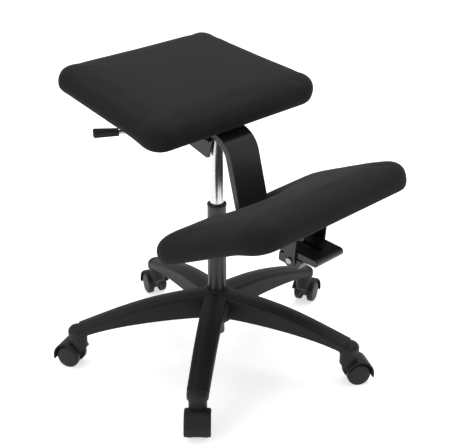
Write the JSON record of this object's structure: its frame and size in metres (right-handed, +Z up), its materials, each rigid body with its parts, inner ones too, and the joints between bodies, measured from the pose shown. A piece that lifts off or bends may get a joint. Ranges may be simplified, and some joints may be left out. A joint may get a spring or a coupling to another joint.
{
  "type": "kneeling chair",
  "caption": "Kneeling chair: square padded seat tilted forward and a notched knee pad on a bent flat bar, on a gas column over a five-leg caster base.",
  "frame": {"origin": "on the floor, on the axis of the gas column", "axes": "+Z up along the column; the sitter faces -Y, so the knee pad is toward -Y; +X is the sitter's left"},
  "size_m": [0.6278, 0.6519, 0.6186],
  "materials": {
    "nylon": "fine-grained moulded",
    "wheel_nylon": "satin moulded",
    "ring_plastic": "satin",
    "black_steel": "black powder coat, satin",
    "zinc_steel": "zinc plated",
    "chrome": "polished",
    "piston_steel": "ground",
    "grip_plastic": "satin",
    "upholstery": "fine even weave",
    "plywood": "plain"
  },
  "bodies": {
    "base": {"star_base": "nylon", "hub_ring": "ring_plastic", "outer_tube": "black_steel", "guide_bush": "ring_plastic", "thrust_bearing": "zinc_steel", "bearing_washer": "zinc_steel", "foot_washer": "zinc_steel", "right_rear_caster_stem": "zinc_steel", "right_front_caster_stem": "zinc_steel", "front_caster_stem": "zinc_steel", "left_caster_stem": "zinc_steel", "rear_caster_stem": "zinc_steel"},
    "rotor": {"piston_rod": "piston_steel", "retaining_clip": "zinc_steel"},
    "upper": {"gas_cylinder": "chrome", "taper_socket": "black_steel", "column_channel": "black_steel", "wedge_bracket": "black_steel", "curved_arm": "black_steel", "arm_bolts": "zinc_steel", "arm_nuts": "zinc_steel", "seat_screws": "zinc_steel", "seat_board": "plywood", "seat_cushion": "upholstery", "lever_yoke": "black_steel", "lever_pivot_pin": "zinc_steel"},
    "lever": {"lever_rod": "piston_steel", "lever_grip": "grip_plastic"},
    "pin": {"release_pin": "piston_steel"},
    "carriage": {"slide_block": "black_steel", "clamp_bolt": "zinc_steel", "clamp_nut": "zinc_steel", "pivot_bolt": "zinc_steel", "pivot_nut": "zinc_steel"},
    "knee_pad": {"tilt_bracket": "black_steel", "knee_board": "plywood", "knee_cushion": "upholstery", "knee_screws": "zinc_steel"},
    "right_rear_caster": {"right_rear_caster_hood": "nylon", "right_rear_caster_axle": "zinc_steel"},
    "right_rear_wheel_a": {"right_rear_caster_wheel_a": "wheel_nylon"},
    "right_rear_wheel_b": {"right_rear_caster_wheel_b": "wheel_nylon"},
    "right_front_caster": {"right_front_caster_hood": "nylon", "right_front_caster_axle": "zinc_steel"},
    "right_front_wheel_a": {"right_front_caster_wheel_a": "wheel_nylon"},
    "right_front_wheel_b": {"right_front_caster_wheel_b": "wheel_nylon"},
    "front_caster": {"front_caster_hood": "nylon", "front_caster_axle": "zinc_steel"},
    "front_wheel_a": {"front_caster_wheel_a": "wheel_nylon"},
    "front_wheel_b": {"front_caster_wheel_b": "wheel_nylon"},
    "left_caster": {"left_caster_hood": "nylon", "left_caster_axle": "zinc_steel"},
    "left_wheel_a": {"left_caster_wheel_a": "wheel_nylon"},
    "left_wheel_b": {"left_caster_wheel_b": "wheel_nylon"},
    "rear_caster": {"rear_caster_hood": "nylon", "rear_caster_axle": "zinc_steel"},
    "rear_wheel_a": {"rear_caster_wheel_a": "wheel_nylon"},
    "rear_wheel_b": {"rear_caster_wheel_b": "wheel_nylon"}
  },
  "joints": [
    {"name": "seat_swivel", "type": "hinge", "parent": "base", "child": "rotor", "pos_m": [0, 0, 0.2], "axis": [0, 0, 1], "continuous": true},
    {"name": "seat_lift", "type": "slide", "parent": "rotor", "child": "upper", "axis": [0, 0, 1], "range_m": [-0.105, 0.015]},
    {"name": "lever_lift", "type": "hinge", "parent": "upper", "child": "lever", "pos_m": [-0.028, 0.014, 0.5145], "axis": [0.4078, 0.913, 0], "range_deg": [0, 4], "stiffness_Nm_per_rad": 3, "springref_deg": -8.59},
    {"name": "pin_press", "type": "slide", "parent": "upper", "child": "pin", "axis": [0, 0, -1], "range_m": [0, 0.0024]},
    {"name": "knee_reach", "type": "slide", "parent": "upper", "child": "carriage", "axis": [0, -0.9945, -0.1045], "range_m": [0, 0.032]},
    {"name": "knee_tilt", "type": "hinge", "parent": "carriage", "child": "knee_pad", "pos_m": [0, -0.228, 0.30615], "axis": [1, 0, 0], "range_deg": [-2, 12]},
    {"name": "right_rear_caster_swivel", "type": "hinge", "parent": "base", "child": "right_rear_caster", "pos_m": [-0.23639, 0.16799, 0.06], "axis": [0, 0, 1], "continuous": true},
    {"name": "right_rear_wheel_a_roll", "type": "hinge", "parent": "right_rear_caster", "child": "right_rear_wheel_a", "pos_m": [-0.24313, 0.18468, 0.024], "axis": [-0.9272, -0.3746, 0], "continuous": true},
    {"name": "right_rear_wheel_b_roll", "type": "hinge", "parent": "right_rear_caster", "child": "right_rear_wheel_b", "pos_m": [-0.24313, 0.18468, 0.024], "axis": [-0.9272, -0.3746, 0], "continuous": true},
    {"name": "right_front_caster_swivel", "type": "hinge", "parent": "base", "child": "right_front_caster", "pos_m": [-0.23282, -0.17291, 0.06], "axis": [0, 0, 1], "continuous": true},
    {"name": "right_front_wheel_a_roll", "type": "hinge", "parent": "right_front_caster", "child": "right_front_wheel_a", "pos_m": [-0.24598, -0.18518, 0.024], "axis": [0.682, -0.7314, 0], "continuous": true},
    {"name": "right_front_wheel_b_roll", "type": "hinge", "parent": "right_front_caster", "child": "right_front_wheel_b", "pos_m": [-0.24598, -0.18518, 0.024], "axis": [0.682, -0.7314, 0], "continuous": true},
    {"name": "front_caster_swivel", "type": "hinge", "parent": "base", "child": "front_caster", "pos_m": [0.0925, -0.27485, 0.06], "axis": [0, 0, 1], "continuous": true},
    {"name": "front_wheel_a_roll", "type": "hinge", "parent": "front_caster", "child": "front_wheel_a", "pos_m": [0.10759, -0.28466, 0.024], "axis": [0.5446, 0.8387, 0], "continuous": true},
    {"name": "front_wheel_b_roll", "type": "hinge", "parent": "front_caster", "child": "front_wheel_b", "pos_m": [0.10759, -0.28466, 0.024], "axis": [0.5446, 0.8387, 0], "continuous": true},
    {"name": "left_caster_swivel", "type": "hinge", "parent": "base", "child": "left_caster", "pos_m": [0.28998, 0.00304, 0.06], "axis": [0, 0, 1], "continuous": true},
    {"name": "left_wheel_a_roll", "type": "hinge", "parent": "left_caster", "child": "left_wheel_a", "pos_m": [0.3071, 0.0086, 0.024], "axis": [-0.309, 0.9511, 0], "continuous": true},
    {"name": "left_wheel_b_roll", "type": "hinge", "parent": "left_caster", "child": "left_wheel_b", "pos_m": [0.3071, 0.0086, 0.024], "axis": [-0.309, 0.9511, 0], "continuous": true},
    {"name": "rear_caster_swivel", "type": "hinge", "parent": "base", "child": "rear_caster", "pos_m": [0.08672, 0.27673, 0.06], "axis": [0, 0, 1], "continuous": true},
    {"name": "rear_wheel_a_roll", "type": "hinge", "parent": "rear_caster", "child": "rear_wheel_a", "pos_m": [0.09347, 0.29342, 0.024], "axis": [-0.9272, 0.3746, 0], "continuous": true},
    {"name": "rear_wheel_b_roll", "type": "hinge", "parent": "rear_caster", "child": "rear_wheel_b", "pos_m": [0.09347, 0.29342, 0.024], "axis": [-0.9272, 0.3746, 0], "continuous": true}
  ],
  "couplings": [
    {"joint": "pin_press", "follows": "lever_lift", "m_per_rad": 0.0312}
  ]
}
